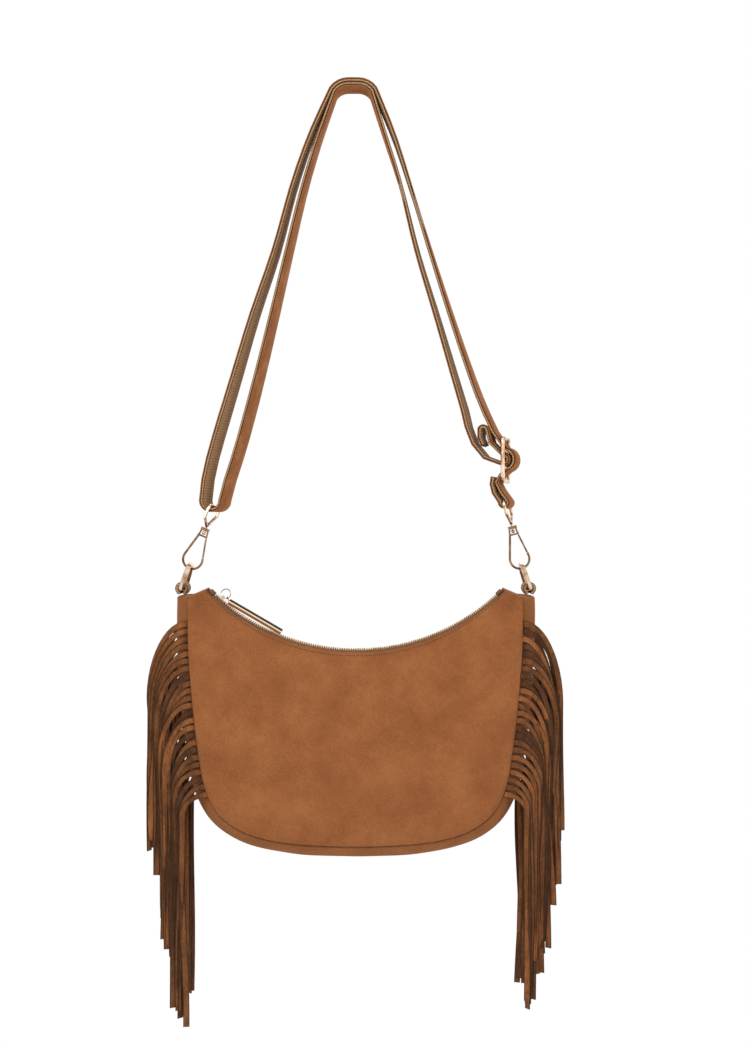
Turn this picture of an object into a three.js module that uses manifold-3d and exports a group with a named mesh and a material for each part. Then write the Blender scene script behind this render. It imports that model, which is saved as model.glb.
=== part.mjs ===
// A small half-moon shoulder bag in suede, hung by its strap, with fringes in both side seams.
// Millimetres, +Z up, front towards -Y. The origin is where the strap rests on its support.
import * as THREE from 'three';
import { mergeVertices } from 'three/addons/utils/BufferGeometryUtils.js';
import Module from 'manifold-3d';

const wasm = await Module();
wasm.setup();

// Bag body
const strapDrop = 389.6;
const bagCentreX = 1.8;
const bagWidth = 255;
const peakSpan = 230;
const shoulderDrop = 4.9;
const sideHeight = 190.3;
const scoopRadius = 163.4;
const seamDepth = 52;
const zipOpening = 27;
const panelThickness = 1.5;
const panelBulge = 8;
const gussetThickness = 1.6;
const gussetBulge = 11.7;
const shoulderBulge = 1.5;
const cornerRound = 1.2;
const seamGap = 0.3;
const liningThickness = 0.6;
const liningInset = 5;
const liningEase = 2.2;
const liningBulge = 7.5;

// Fringe
const fringeStrips = 24;
const fringeTop = 17.1;
const fringePitch = 5.65;
const stripWidth = 4.8;
const stripThickness = 1;
const stripLength = 186;
const stripUneven = 6;
const headerDepth = 4;
const fringeReach = 34;
const fringeLowReach = 5;
const fringeDroop = 62;
const fringeLowDroop = 14;
const fringeTilt = 24;
const fringeSpread = 0.5;
const fringeFade = 20;

// Zip
const tapeThickness = 0.6;
const tapeGap = 0.3;
const zipSlot = 1.4;
const teethWidth = 1.6;
const teethHeight = 2.4;
const zipEndMargin = 1.07;
const zipEndLength = 5;
const sliderInset = 6.27;
const sliderLength = 9.6;
const sliderWidth = 8.4;
const sliderPlate = 1;
const sliderNeck = 0.7;
const crownWidth = 1.6;
const crownThickness = 1;
const pullRingRadius = 3.7;
const pullWire = 0.9;
const pullBarLength = 47.3;
const pullBarHeight = 4.6;
const pullBarThickness = 3.6;
const pullBarFront = 5.5;
const pullBarTip = 3.8;
const pullEyeRadius = 1.5;
const pullEyeWire = 0.8;

// Strap
const strapWidth = 21;
const webbingThickness = 2.1;
const facingThickness = 0.8;
const layerGap = 0.3;
const strapTwist = 15;
const twistDrop = 250;
const restLength = 8;
const restRadius = 12;
const restSweep = 35;
const strandGap = 1.6;
const wrapEase = 0.2;
const passEase = 1.2;
const foldEase = 1.4;
const loopRadius = 8;

// Slide buckle
const slideX = 118.6;
const slideZ = -288.4;
const slideHeight = 33.8;
const slideWire = 3.4;
const sideClearance = 0.5;

// Swivel hooks, rings and tabs
const ringSpan = 257.5;
const ringCrossingZ = -369.9;
const eyeLeftX = -107.7;
const eyeRightX = 119.2;
const hookLength = 49.5;
const eyeWire = 2.5;
const eyeHeight = 17;
const stemShown = 1.8;
const stemDiameter = 1.6;
const ballDiameter = 3;
const hookWire = 1.9;
const hookDepth = 2.6;
const hookRadius = 7.6;
const hookFlare = 13.5;
const hookClearance = 0.3;
const gateWire = 1.5;
const noseRise = 3.5;
const capWidth = 6.6;
const capHeight = 2.4;
const windowHeight = 5;
const windowWire = 1.4;
const ringWire = 4;
const ringInside = 22;
const ringBarX = 134.6;
const ringBarZ = -388.3;
const tabWidth = 19.5;
const tabThickness = 2.7;
const tabEase = 0.2;
const tabLeg = 0.9;

// Places worked out from the sizes above
const degree = Math.PI / 180;
const peakX = peakSpan / 2;
const peakZ = -strapDrop;
const scoopZ = peakZ + Math.sqrt(scoopRadius ** 2 - peakX ** 2);
const peakAngle = Math.asin(peakX / scoopRadius) / degree;
const scoopAngle = (length) => length / scoopRadius / degree;
const zipHalfAngle = peakAngle - scoopAngle(zipEndLength + seamGap + zipEndMargin);
const sliderAngle = zipHalfAngle - scoopAngle(sliderInset);
const cornerX = bagWidth / 2;
const cornerZ = peakZ - shoulderDrop;
const halfDepth = seamDepth / 2;
const halfZip = zipOpening / 2;
const webbingFace = layerGap / 2;
const webbingBack = webbingFace + webbingThickness;
const facingFront = webbingFace + facingThickness;
const strandPitch = facingFront + webbingBack;
const fringeLayer = stripThickness + 2 * seamGap;

// Finishes
const suede = { color: 0x98603a, roughness: 0.95, metalness: 0 };
const suedeDark = { color: 0x6b432b, roughness: 0.95, metalness: 0 };
const webbing = { color: 0x8f6f52, roughness: 0.9, metalness: 0 };
const cotton = { color: 0x5a3d28, roughness: 0.9, metalness: 0 };
const gold = { color: 0xe0bd94, roughness: 0.2, metalness: 1 };

const bag = new THREE.Group();
bag.name = 'fringed_suede_bag';
const body = new THREE.Group();
body.position.x = bagCentreX;
bag.add(body);

function addPiece(parent, name, geometry, finish) {
  const mesh = new THREE.Mesh(geometry, new THREE.MeshStandardMaterial(finish));
  mesh.name = name;
  parent.add(mesh);
  return mesh;
}

// A closed mesh with shared corners, no empty triangles and its faces pointing out
function closedGeometry(geometry) {
  const bare = geometry.clone();
  bare.deleteAttribute('normal');
  bare.deleteAttribute('uv');
  const merged = mergeVertices(bare, 1e-4);
  const at = merged.attributes.position;
  const kept = [];
  let volume = 0;
  const a = new THREE.Vector3();
  const b = new THREE.Vector3();
  const c = new THREE.Vector3();
  for (let i = 0; i < merged.index.count; i += 3) {
    const ids = [0, 1, 2].map((k) => merged.index.getX(i + k));
    if (new Set(ids).size === 3) {
      kept.push(...ids);
      a.fromBufferAttribute(at, ids[0]);
      b.fromBufferAttribute(at, ids[1]);
      c.fromBufferAttribute(at, ids[2]);
      volume += a.dot(b.cross(c));
    }
  }
  merged.setIndex(volume < 0 ? kept.reverse() : kept);
  return merged;
}

function toSolid(geometry) {
  const closed = closedGeometry(geometry);
  const vertProperties = new Float32Array(closed.attributes.position.array);
  const triVerts = new Uint32Array(closed.index.array);
  return new wasm.Manifold(new wasm.Mesh({ numProp: 3, vertProperties, triVerts }));
}

function toGeometry(solid) {
  const mesh = solid.getMesh();
  const geometry = new THREE.BufferGeometry();
  geometry.setAttribute('position', new THREE.BufferAttribute(mesh.vertProperties, 3));
  geometry.setIndex(new THREE.BufferAttribute(mesh.triVerts, 1));
  return geometry;
}

function joined(geometries) {
  const solids = geometries.map(toSolid);
  return toGeometry(solids.reduce((whole, next) => whole.add(next)));
}

// A body through rings of points. An open one is capped by pairing the two halves of its end rings.
function loft(rings, closed) {
  const around = rings[0].length;
  const positions = rings.flat().flatMap((p) => [p.x, p.y, p.z]);
  const indices = [];
  const quad = (a, b, c, d) => indices.push(a, b, c, a, c, d);
  const spans = closed ? rings.length : rings.length - 1;
  for (let i = 0; i < spans; i += 1) {
    const here = i * around;
    const next = ((i + 1) % rings.length) * around;
    for (let j = 0; j < around; j += 1) {
      const k = (j + 1) % around;
      quad(here + j, here + k, next + k, next + j);
    }
  }
  if (!closed) {
    const last = (rings.length - 1) * around;
    for (let j = 0; j < around / 2 - 1; j += 1) {
      const k = around - 1 - j;
      quad(j, k, k - 1, j + 1);
      quad(last + j, last + j + 1, last + k - 1, last + k);
    }
  }
  const geometry = new THREE.BufferGeometry();
  geometry.setAttribute('position', new THREE.Float32BufferAttribute(positions, 3));
  geometry.setIndex(indices);
  return closedGeometry(geometry);
}

function arc(x, z, radius, from, to, steps) {
  return Array.from({ length: steps + 1 }, (_, i) => {
    const angle = THREE.MathUtils.lerp(from, to, i / steps) * degree;
    return new THREE.Vector2(x + radius * Math.cos(angle), z + radius * Math.sin(angle));
  });
}

// Points along a smooth curve, without its first and last
function between(points, steps) {
  const curve = new THREE.SplineCurve(points.map(([x, z]) => new THREE.Vector2(x, z)));
  return curve.getSpacedPoints(steps).slice(1, -1);
}

function directionAt(points, i, closed) {
  const n = points.length;
  const before = closed ? points[(i + n - 1) % n] : points[Math.max(i - 1, 0)];
  const after = closed ? points[(i + 1) % n] : points[Math.min(i + 1, n - 1)];
  const back = points[i].clone().sub(before).normalize();
  const ahead = after.clone().sub(points[i]).normalize();
  return back.add(ahead).normalize();
}

// A wire in the XZ plane, with an oval section
function wire(points, across, deep, closed, sides = 8) {
  const rings = points.map((point, i) => {
    const way = directionAt(points, i, closed);
    const side = new THREE.Vector3(-way.y, 0, way.x);
    return Array.from({ length: sides }, (_, k) => {
      const angle = (2 * Math.PI * (k + 0.5)) / sides;
      return new THREE.Vector3(point.x, 0, point.y)
        .addScaledVector(side, (across / 2) * Math.cos(angle))
        .add(new THREE.Vector3(0, (deep / 2) * Math.sin(angle), 0));
    });
  });
  return loft(rings, closed);
}

// A flat strip that follows a path in the XZ plane
function wireStrip(stations, thickness, width) {
  const rings = stations.map((point, i) => {
    const way = directionAt(stations, i, false);
    const side = new THREE.Vector3(-way.y, 0, way.x);
    return [[-1, -1], [1, -1], [1, 1], [-1, 1]].map(([out, deep]) => (
      new THREE.Vector3(point.x, (deep * width) / 2, point.y).addScaledVector(side, (out * thickness) / 2)
    ));
  });
  return loft(rings, false);
}

// A plate drawn in the XZ plane and cut between two depths
function plate(shape, front, back) {
  const geometry = new THREE.ExtrudeGeometry(shape, {
    depth: back - front,
    bevelEnabled: false,
    curveSegments: 12,
  });
  return geometry.rotateX(Math.PI / 2).translate(0, back, 0);
}

function plateBetween(shape, depth, otherDepth) {
  return plate(shape, Math.min(depth, otherDepth), Math.max(depth, otherDepth));
}

function outline(points) {
  return new THREE.Shape(points);
}

function block(x0, x1, y0, y1, z0, z1) {
  return new THREE.BoxGeometry(x1 - x0, y1 - y0, z1 - z0)
    .translate((x0 + x1) / 2, (y0 + y1) / 2, (z0 + z1) / 2);
}

// The side and bottom seam, from the left corner round to the right, as shares of the panel
const seamShape = [[1, 0], [0.996, 0.239], [0.953, 0.554], [0.886, 0.791], [0.745, 0.914], [0.47, 0.98]];
const seamLeft = seamShape.map(([x, z]) => [-x, z]);
const seamRight = [...seamShape].reverse();
const seam = new THREE.SplineCurve([...seamLeft, [0, 1], ...seamRight].map(([x, z]) => (
  new THREE.Vector2(x * cornerX, cornerZ - z * sideHeight)
)));

function seamOut(t) {
  const way = seam.getTangentAt(t);
  return new THREE.Vector2(way.y, -way.x);
}

// The top edge from corner to peak, round the scoop and down to the other corner
const shoulderShare = 0.93;
function topEdge(u) {
  const side = Math.sign(u);
  const share = Math.abs(u) / shoulderShare;
  if (share > 1) {
    const along = (Math.abs(u) - shoulderShare) / (1 - shoulderShare);
    const x = THREE.MathUtils.lerp(peakX, cornerX, along);
    return new THREE.Vector2(side * x, THREE.MathUtils.lerp(peakZ, cornerZ, along));
  }
  const angle = Math.asin(peakX / scoopRadius) * share;
  const x = side * scoopRadius * Math.sin(angle);
  return new THREE.Vector2(x, scoopZ - scoopRadius * Math.cos(angle));
}

function topDepth(u) {
  const along = Math.max(0, (Math.abs(u) - shoulderShare) / (1 - shoulderShare));
  return THREE.MathUtils.lerp(halfZip, halfDepth, along);
}

const columns = [];
const columnCount = 30;
for (let i = 0; i <= columnCount; i += 1) {
  columns.push(THREE.MathUtils.lerp(-shoulderShare, shoulderShare, i / columnCount));
}
const shoulderSteps = [1, (1 + shoulderShare) / 2];
const panelColumns = [...shoulderSteps.map((u) => -u), ...columns, ...[...shoulderSteps].reverse()];
const panelRows = [0, 0.15, 0.4, 0.7, 0.9, 1];

function panelPoint(u, v) {
  const top = topEdge(u);
  const low = seam.getPointAt((1 + u) / 2);
  const flat = top.clone().lerp(low, v);
  const spread = Math.sin((v * Math.PI) / 2);
  const crown = panelBulge * Math.sin(v * Math.PI) * (1 - u ** 4);
  const depth = THREE.MathUtils.lerp(topDepth(u), halfDepth, spread) + crown;
  return new THREE.Vector3(flat.x, -depth, flat.y);
}

// A sewn panel: its outer and inner faces joined along the rows' ends
function panel(front) {
  const turn = front ? 1 : -1;
  const rings = panelColumns.map((u) => {
    const outer = panelRows.map((v) => panelPoint(u, v).add(new THREE.Vector3(0, -panelThickness, 0)));
    const inner = panelRows.map((v) => panelPoint(u, v)).reverse();
    return [...outer, ...inner].map((p) => new THREE.Vector3(p.x, p.y * turn, p.z));
  });
  return loft(rings, false);
}

addPiece(body, 'front_panel', panel(true), suede);
addPiece(body, 'back_panel', panel(false), suede);

// Gusset: a band from one zip end over the shoulder, round the bottom and up again
const fringeEnd = fringeTop + fringeStrips * fringePitch;
function gussetEdge(z) {
  const down = cornerZ - z;
  return halfDepth - (down < fringeEnd + fringeFade ? fringeLayer : seamGap);
}

function shoulderDepth(x) {
  return THREE.MathUtils.lerp(halfZip, halfDepth, Math.min(1, (x - peakX) / (cornerX - peakX)));
}

const gussetStations = [];
const shoulderStations = 3;
for (let i = 0; i < shoulderStations; i += 1) {
  const along = i / shoulderStations;
  const x = THREE.MathUtils.lerp(peakX, cornerX - cornerRound, along);
  const z = THREE.MathUtils.lerp(peakZ, cornerZ, along);
  const half = shoulderDepth(x) - seamGap;
  gussetStations.push({ x, z, outX: 0, outZ: shoulderBulge, half });
}
const turnSteps = 4;
for (let i = 0; i <= turnSteps; i += 1) {
  const turn = (i / turnSteps) * 90 * degree;
  gussetStations.push({
    x: cornerX - cornerRound + cornerRound * Math.sin(turn),
    z: cornerZ - cornerRound + cornerRound * Math.cos(turn),
    outX: gussetBulge * Math.sin(turn),
    outZ: shoulderBulge * Math.cos(turn),
    half: shoulderDepth(cornerX - cornerRound + cornerRound * Math.sin(turn)) - fringeLayer,
  });
}
const sideStations = 17;
for (let i = 1; i <= sideStations; i += 1) {
  const t = 1 - (0.5 * i) / sideStations;
  const point = seam.getPointAt(t);
  const out = seamOut(t);
  gussetStations.push({
    x: point.x,
    z: point.y,
    outX: gussetBulge * out.x,
    outZ: gussetBulge * out.y,
    half: gussetEdge(point.y),
  });
}
const mirrored = gussetStations.slice(0, -1).map((s) => ({ ...s, x: -s.x, outX: -s.outX }));
const gussetPath = [...gussetStations, ...mirrored.reverse()];
const gussetRows = [-1, -0.7, -0.35, 0, 0.35, 0.7, 1];

function gussetPoint(station, row, inward) {
  const length = Math.hypot(station.outX, station.outZ);
  const swell = 1 - row ** 2 - inward / length;
  return new THREE.Vector3(
    station.x + station.outX * swell,
    station.half * row,
    station.z + station.outZ * swell,
  );
}

const gussetRings = gussetPath.map((station) => [
  ...gussetRows.map((row) => gussetPoint(station, row, 0)),
  ...[...gussetRows].reverse().map((row) => gussetPoint(station, row, gussetThickness)),
]);
addPiece(body, 'gusset', loft(gussetRings, false), suede);

// Lining: one cotton pouch inside the suede, open along the zip
const liningColumns = columns.filter((u, i) => i % 2 === 1);
const liningRows = [0, 0.25, 0.6, 1];
const liningFloor = [-0.6, 0, 0.6];

function liningLine(u, inward) {
  const low = seam.getPointAt((1 + u) / 2);
  const out = seamOut((1 + u) / 2);
  const floor = low.clone().addScaledVector(out, -liningInset - inward);
  const angle = Math.atan2(topEdge(u).x, scoopZ - topEdge(u).y);
  const topRadius = scoopRadius + tapeThickness + seamGap * 2;
  const top = new THREE.Vector2(topRadius * Math.sin(angle), scoopZ - topRadius * Math.cos(angle));
  const wall = liningRows.map((v) => {
    const flat = top.clone().lerp(floor, v);
    const depth = Math.max(-panelPoint(u, v).y - liningEase - inward, 1);
    const capped = Math.min(depth, halfDepth - liningEase - inward);
    return new THREE.Vector3(flat.x, -capped, flat.y);
  });
  const edge = halfDepth - liningEase - inward;
  const base = liningFloor.map((row) => {
    const swell = liningBulge * (1 - row ** 2);
    return new THREE.Vector3(floor.x + out.x * swell, edge * row, floor.y + out.y * swell);
  });
  const back = wall.map((p) => new THREE.Vector3(p.x, -p.y, p.z)).reverse();
  return [...wall, ...base, ...back];
}

const liningRings = liningColumns.map((u) => [
  ...liningLine(u, 0),
  ...liningLine(u, liningThickness).reverse(),
]);
addPiece(body, 'lining', loft(liningRings, false), cotton);

// Zip: tapes, tooth rows and end pieces on circles round the scoop's centre
function zipArc(inner, outer, halfAngle) {
  const down = -90;
  return outline([
    ...arc(0, scoopZ, outer, down - halfAngle, down + halfAngle, 32),
    ...arc(0, scoopZ, inner, down + halfAngle, down - halfAngle, 32),
  ]);
}

const tapeShape = zipArc(scoopRadius - tapeThickness / 2, scoopRadius + tapeThickness / 2, zipHalfAngle);
const teethShape = zipArc(scoopRadius - teethHeight / 2, scoopRadius + teethHeight / 2, zipHalfAngle);
const teethFront = -zipSlot / 2 - teethWidth;
const tapeInner = teethFront - tapeGap;
const tapeOuter = -halfZip + seamGap;
const zipSides = [['front', 1], ['back', -1]];
for (const [side, turn] of zipSides) {
  const tape = plateBetween(tapeShape, tapeOuter * turn, tapeInner * turn);
  const teeth = plateBetween(teethShape, teethFront * turn, (-zipSlot / 2) * turn);
  addPiece(body, `zip_tape_${side}`, tape, cotton);
  addPiece(body, `zip_teeth_${side}`, teeth, gold);
}

for (const [side, sign] of [['left', -1], ['right', 1]]) {
  const from = -90 + sign * (zipHalfAngle + scoopAngle(seamGap));
  const to = from + sign * scoopAngle(zipEndLength);
  const shape = outline([
    ...arc(0, scoopZ, scoopRadius + teethHeight / 2, from, to, 2),
    ...arc(0, scoopZ, scoopRadius - teethHeight / 2, to, from, 2),
  ]);
  const half = halfZip - seamGap;
  addPiece(body, `zip_end_${side}`, plate(shape, -half, half), suedeDark);
}

// Slider and pull, drawn at the bottom of the scoop and turned to the closed end
const zipCentre = new THREE.Group();
zipCentre.position.z = scoopZ;
zipCentre.rotation.y = sliderAngle * degree;
body.add(zipCentre);
const plateLow = teethHeight / 2 + seamGap;
const plateTop = plateLow + sliderPlate;
const zipLine = -scoopRadius;
const crownInside = pullWire + 2 * seamGap;
const crownTop = zipLine + plateTop + crownInside + crownThickness;
const sliderParts = [
  block(-sliderLength / 2, sliderLength / 2, -sliderWidth / 2, sliderWidth / 2,
    zipLine + plateLow, zipLine + plateTop),
  block(-sliderLength / 2, sliderLength / 2, -sliderWidth / 2, sliderWidth / 2,
    zipLine - plateTop, zipLine - plateLow),
  block(-sliderLength / 2, -sliderLength / 2 + 2, -sliderNeck / 2, sliderNeck / 2,
    zipLine - plateTop + 0.1, zipLine + plateTop - 0.1),
];
const crownHalf = pullWire / 2 + 0.6;
const crownOuter = crownHalf + crownThickness;
for (const sign of [-1, 1]) {
  sliderParts.push(block(-crownWidth / 2, crownWidth / 2,
    Math.min(sign * crownHalf, sign * crownOuter), Math.max(sign * crownHalf, sign * crownOuter),
    zipLine + plateTop - 0.1, crownTop));
}
sliderParts.push(block(-crownWidth / 2, crownWidth / 2, -crownOuter, crownOuter,
  crownTop - crownThickness, crownTop));
addPiece(zipCentre, 'zip_slider', joined(sliderParts), gold);

const pullRingZ = zipLine + plateTop + seamGap + pullWire / 2 + pullRingRadius;
const pullRingPath = arc(0, pullRingZ, pullRingRadius, 0, 360, 24).slice(0, -1);
const pullRing = wire(pullRingPath, pullWire, pullWire, true, 6);
addPiece(zipCentre, 'zip_pull_ring', pullRing, gold);

// The bar's eye goes round the ring on its lower right, and the bar lies along the zip
const eyeAngle = -28;
const eyeOut = pullRingRadius + pullEyeRadius - pullEyeWire / 2 - pullWire / 2 - 0.15;
const eyeWay = new THREE.Vector2(Math.cos(eyeAngle * degree), Math.sin(eyeAngle * degree));
const eyeAt = new THREE.Vector2(0, pullRingZ).addScaledVector(eyeWay, eyeOut);
const barStart = new THREE.Vector2(eyeAt.x + pullEyeRadius + 0.6, eyeAt.y - 0.5);
const tipRadius = scoopRadius - pullBarTip;
const tipAngle = Math.asin((barStart.x + pullBarLength) / tipRadius);
const barEnd = new THREE.Vector2(tipRadius * Math.sin(tipAngle), -tipRadius * Math.cos(tipAngle));
const barWay = barEnd.clone().sub(barStart).normalize();
const barTilt = Math.atan2(barWay.y, barWay.x);
const barShape = outline([
  [0, -0.3], [0.3, -0.5], [pullBarLength - 0.4, -0.5], [pullBarLength, -0.42],
  [pullBarLength, 0.42], [pullBarLength - 0.4, 0.5], [0.3, 0.5], [0, 0.3],
].map(([x, z]) => new THREE.Vector2(x, z * pullBarHeight)));
const barFront = -pullBarFront - pullBarThickness / 2;
const barSolid = plate(barShape, barFront, barFront + pullBarThickness)
  .rotateY(-barTilt)
  .translate(barStart.x, 0, barStart.y);
const eyeRing = new THREE.TorusGeometry(pullEyeRadius, pullEyeWire / 2, 6, 16)
  .rotateY(90 * degree)
  .rotateY(-eyeAngle * degree + 90 * degree)
  .translate(eyeAt.x, 0, eyeAt.y);
const neckAt = new THREE.Vector3(barStart.x + 1, -pullBarFront, barStart.y);
const neckFrom = new THREE.Vector3(eyeAt.x, 0, eyeAt.y)
  .addScaledVector(new THREE.Vector3(eyeWay.x, 0, eyeWay.y), pullEyeRadius);
const neckLength = neckAt.distanceTo(neckFrom);
const neck = new THREE.CylinderGeometry(0.7, 0.7, neckLength, 8)
  .applyQuaternion(new THREE.Quaternion().setFromUnitVectors(
    new THREE.Vector3(0, 1, 0), neckAt.clone().sub(neckFrom).normalize()))
  .translate((neckAt.x + neckFrom.x) / 2, (neckAt.y + neckFrom.y) / 2, (neckAt.z + neckFrom.z) / 2);
addPiece(zipCentre, 'zip_pull_bar', joined([barSolid, eyeRing, neck]), gold);

// Fringes: a comb of strips sewn into each side seam, each strip arching out and hanging down
function seamShareAt(down) {
  let t = 0.5;
  let step = 0.25;
  for (let i = 0; i < 20; i += 1) {
    t += cornerZ - seam.getPointAt(t).y > down ? step : -step;
    step /= 2;
  }
  return t;
}

// One strip on the right front seam: an elliptic arch and then a straight fall
function stripPath(index) {
  const share = index / (fringeStrips - 1);
  const root = seam.getPointAt(seamShareAt(fringeTop + (index + 0.5) * fringePitch));
  const reach = THREE.MathUtils.lerp(fringeReach, fringeLowReach, share) + cornerX - root.x;
  const droop = THREE.MathUtils.lerp(fringeDroop, fringeLowDroop, share);
  const ease = fringeSpread * ((fringeStrips - 1) / 2 - index);
  const stations = [];
  const archSteps = 4;
  for (let i = 0; i <= archSteps; i += 1) {
    const turn = (i / archSteps) * 90 * degree;
    const x = root.x + reach * Math.sin(turn);
    const z = root.y - droop * (1 - Math.cos(turn));
    const way = new THREE.Vector3(reach * Math.cos(turn), 0, -droop * Math.sin(turn));
    stations.push({ at: new THREE.Vector3(x, ease * Math.sin(turn) ** 2, z), way, turn });
  }
  const start = stations[0];
  const hidden = start.at.clone().add(new THREE.Vector3(-headerDepth / 2, 0, 0));
  stations.unshift({ at: hidden, way: start.way, turn: 0 });
  const arch = (Math.PI / 2) * Math.sqrt((reach ** 2 + droop ** 2) / 2);
  const fall = stripLength - arch + stripUneven * Math.sin(index * 2.4);
  const last = stations[stations.length - 1];
  const tip = last.at.clone().add(new THREE.Vector3(0, 0, -fall));
  stations.push({ at: tip, way: last.way, turn: last.turn });
  return stations;
}

function strip(index) {
  const rings = stripPath(index).map(({ at, way, turn }) => {
    const along = way.clone().normalize();
    const tilt = fringeTilt * degree * Math.sin(turn);
    const flat = new THREE.Vector3(-along.z, 0, along.x);
    const face = new THREE.Vector3(0, 1, 0);
    const wide = flat.clone().multiplyScalar(Math.cos(tilt)).addScaledVector(face, -Math.sin(tilt));
    const thick = face.clone().multiplyScalar(Math.cos(tilt)).addScaledVector(flat, Math.sin(tilt));
    return [[-1, -1], [1, -1], [1, 1], [-1, 1]].map(([a, b]) => at.clone()
      .addScaledVector(wide, (a * stripWidth) / 2)
      .addScaledVector(thick, (b * stripThickness) / 2));
  });
  return loft(rings, false);
}

function fringeHeader() {
  const rings = [];
  const steps = 10;
  for (let i = 0; i <= steps; i += 1) {
    const down = fringeTop + (fringeStrips * fringePitch * i) / steps;
    const t = seamShareAt(down);
    const point = seam.getPointAt(t);
    const out = seamOut(t);
    rings.push([[-headerDepth, -1], [0, -1], [0, 1], [-headerDepth, 1]].map(([along, side]) => (
      new THREE.Vector3(point.x + out.x * along, (side * stripThickness) / 2, point.y + out.y * along)
    )));
  }
  return loft(rings, false);
}

const rightFrontFringe = joined([
  fringeHeader(),
  ...Array.from({ length: fringeStrips }, (_, i) => strip(i)),
]);
const fringeY = halfDepth - seamGap - stripThickness / 2;
for (const [side, sign] of [['left', -1], ['right', 1]]) {
  for (const [face, depth] of [['front', -1], ['back', 1]]) {
    const geometry = closedGeometry(rightFrontFringe.clone().scale(sign, -depth, 1));
    addPiece(body, `fringe_${side}_${face}`, geometry.translate(0, depth * fringeY, 0), suede);
  }
}

// Strap path: from the folded end at the buckle, up, over the rest, round the left eye and back
const wrapRadius = slideWire / 2 + layerGap + webbingBack + wrapEase;
const passRadius = wrapRadius + strandPitch + layerGap + passEase;
const eyeWrap = eyeWire / 2 + layerGap + webbingBack + wrapEase;
const outerRadius = restRadius + strandPitch + strandGap;
const restZ = facingFront - restRadius;
const halfRest = restLength / 2;
const foldRadius = webbingBack + layerGap / 2 + foldEase;
const ringCrossing = (sign) => new THREE.Vector2(bagCentreX + (sign * ringSpan) / 2, ringCrossingZ);
const eyeBar = (sign, x) => {
  const crossing = ringCrossing(sign);
  return new THREE.Vector2(x, crossing.y + Math.sqrt(hookLength ** 2 - (x - crossing.x) ** 2));
};
const eyeLeft = eyeBar(-1, eyeLeftX);
const eyeRight = eyeBar(1, eyeRightX);
const leftLoopZ = eyeLeft.y - eyeWrap + loopRadius;
const rightLoopZ = eyeRight.y;

const points = (list) => list.map(([x, z]) => new THREE.Vector2(x, z));
const restEnd = (sign, radius) => [
  sign * (halfRest + radius * Math.cos(restSweep * degree)),
  restZ + radius * Math.sin(restSweep * degree),
];
const path = [
  ...points([[slideX - 16.6, slideZ + 10.6], [slideX - 19.2, slideZ + 16.8]]),
  ...arc(slideX - 15.6, slideZ + 22.4, foldRadius, 160, 10, 6),
  ...points([[slideX - 9.6, slideZ + 13.4]]),
  ...arc(slideX, slideZ, wrapRadius, 95, -95, 8),
  ...between([[slideX - 2, slideZ - 4.6], [slideX - 19.5, slideZ + 4.4], [slideX - 29.5, slideZ + 26],
    [86.6, -251], [79.2, -226.2], [64.4, -176.3], [49.2, -126.4], [36.7, -76.4], [24.5, -38],
    restEnd(1, restRadius)], 22),
  ...arc(halfRest, restZ, restRadius, restSweep, 90, 4),
  ...arc(-halfRest, restZ, restRadius, 90, 180 - restSweep, 4),
  ...between([restEnd(-1, restRadius), [-25.8, -38], [-37.4, -76.4], [-49.5, -126.4], [-61.2, -176.3],
    [-73.3, -226.2], [-86.6, -276.1],
    [-96, -306], [eyeLeftX + loopRadius, leftLoopZ]], 20),
  ...arc(eyeLeftX, leftLoopZ, loopRadius, 0, -180, 9),
  ...between([[eyeLeftX - loopRadius, leftLoopZ], [-113.4, -301], [-107.2, -276.1], [-92.4, -226.2],
    [-77.6, -176.3], [-60.8, -126.4], [-47.2, -76.4], [-34, -38], restEnd(-1, outerRadius)], 20),
  ...arc(-halfRest, restZ, outerRadius, 180 - restSweep, 90, 4),
  ...arc(halfRest, restZ, outerRadius, 90, restSweep, 4),
  ...between([restEnd(1, outerRadius), [32.8, -38], [45.3, -76.4], [60.9, -126.4], [76.9, -176.3], [94, -226.2],
    [103.8, -251],
    [slideX - 6.6, slideZ + 20.5], [slideX + 1.5, slideZ + 10.4]], 20),
  ...arc(slideX, slideZ, passRadius, 78, -70, 8),
  ...points([[slideX - 1.4, slideZ - 12.5], [slideX - 4.7, slideZ - 17.8], [slideX - 1.6, slideZ - 24]]),
  ...arc(eyeRightX, rightLoopZ, eyeWrap, 15, -180, 8),
  ...points([[eyeRightX - eyeWrap - 4.6, rightLoopZ + 7], [eyeRightX - eyeWrap - 6.4, rightLoopZ + 14],
    [eyeRightX - eyeWrap - 5.4, rightLoopZ + 20]]),
];

function acrossStrap(z) {
  const turn = strapTwist * degree * THREE.MathUtils.clamp(-z / twistDrop, 0, 1);
  return new THREE.Vector3(Math.sin(turn), Math.cos(turn), 0);
}

function ribbon(stations, inner, outer) {
  const rings = stations.map((point, i) => {
    const way = directionAt(stations, i, false);
    const along = new THREE.Vector3(way.x, 0, way.y);
    const across = acrossStrap(point.y);
    const face = along.clone().cross(across).normalize();
    return [[inner, -1], [outer, -1], [outer, 1], [inner, 1]].map(([out, side]) => (
      new THREE.Vector3(point.x, 0, point.y)
        .addScaledVector(face, out)
        .addScaledVector(across, (side * strapWidth) / 2)
    ));
  });
  return loft(rings, false);
}

addPiece(bag, 'strap_webbing', ribbon(path, -webbingBack, -webbingFace), webbing);
addPiece(bag, 'strap_facing', ribbon(path, webbingFace, facingFront), suede);

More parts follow.
